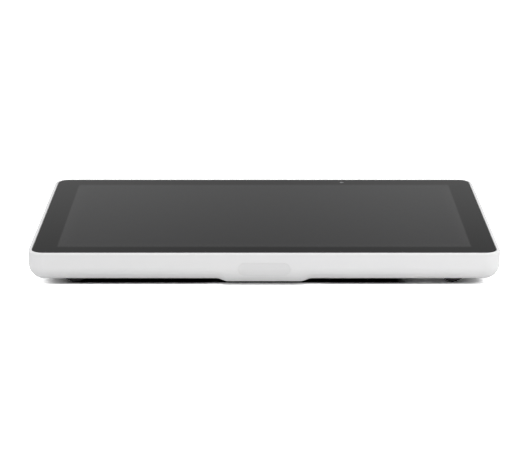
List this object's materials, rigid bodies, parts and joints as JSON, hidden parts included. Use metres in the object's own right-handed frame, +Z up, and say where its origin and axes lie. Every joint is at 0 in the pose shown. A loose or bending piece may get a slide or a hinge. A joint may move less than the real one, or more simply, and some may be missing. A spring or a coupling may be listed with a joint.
{
  "type": "pos touchscreen terminal",
  "caption": "Flat touchscreen point-of-sale terminal in a white shell on rubber feet, with a pill-shaped sensor in its front lip and a fold-out stand leg underneath.",
  "frame": {"origin": "on the surface the feet stand on, under the middle of the slab", "axes": "+X to the user's right along the long side, +Y away from the user, +Z up out of the glass; the user sits on the -Y side"},
  "size_m": [0.352, 0.2126, 0.028],
  "materials": {
    "white_plastic": "satin, fine texture",
    "sensor_plastic": "satin",
    "charcoal_plastic": "fine matt texture",
    "black_glass": "glossy, black-printed from behind",
    "black_rubber": "matt",
    "foam_tape": "matt foam",
    "steel": "plain",
    "aluminium": "plain sheet",
    "black_plastic": "matt",
    "circuit_board": "solder mask",
    "display_panel": "polarising film",
    "diffuser": "milky film",
    "flex_cable": "film"
  },
  "bodies": {
    "terminal": {"backlight_unit": "diffuser", "board_screw_1": "steel", "board_screw_2": "steel", "board_screw_3": "steel", "board_screw_4": "steel", "bottom_cover": "charcoal_plastic", "bracket_screw_1": "steel", "bracket_screw_2": "steel", "bracket_screw_3": "steel", "bracket_screw_4": "steel", "camera_lens": "black_glass", "camera_module": "black_plastic", "coin_cell": "steel", "cover_glass": "black_glass", "cover_screw_1": "steel", "cover_screw_2": "steel", "cover_screw_3": "steel", "cover_screw_4": "steel", "cover_screw_5": "steel", "cover_screw_6": "steel", "display_cable": "flex_cable", "fingerprint_board": "circuit_board", "fingerprint_cable": "flex_cable", "fingerprint_sensor": "sensor_plastic", "foot_front_left": "black_rubber", "foot_front_right": "black_rubber", "foot_rear_left": "black_rubber", "foot_rear_right": "black_rubber", "frame_screw_1": "steel", "frame_screw_2": "steel", "frame_screw_3": "steel", "frame_screw_4": "steel", "glass_tape": "foam_tape", "heat_spreader": "aluminium", "hinge_bracket_left": "steel", "hinge_bracket_right": "steel", "hinge_pin_left": "steel", "hinge_pin_right": "steel", "hinge_washer_left": "black_plastic", "hinge_washer_right": "black_plastic", "housing": "white_plastic", "lcd_panel": "display_panel", "main_board": "circuit_board", "mid_frame": "aluminium", "power_jack": "black_plastic", "power_switch": "black_plastic", "shield_can": "steel", "speaker_left": "black_plastic", "speaker_right": "black_plastic", "usb_a_port_inner": "steel", "usb_a_port_outer": "steel", "usb_c_port": "steel", "wifi_antenna_left": "flex_cable", "wifi_antenna_right": "flex_cable"},
    "stand": {"stand_leg": "charcoal_plastic", "stand_pad": "black_rubber"},
    "power_button": {"power_button": "white_plastic"}
  },
  "joints": [
    {"name": "stand_hinge", "type": "hinge", "parent": "terminal", "child": "stand", "pos_m": [0, -0.0449, 0.0086], "axis": [-1, 0, 0], "range_deg": [0, 105]},
    {"name": "power_button_press", "type": "slide", "parent": "terminal", "child": "power_button", "axis": [0, -1, 0], "range_m": [0, 0.0006], "stiffness_N_per_m": 1200, "springref_m": -0.001}
  ]
}
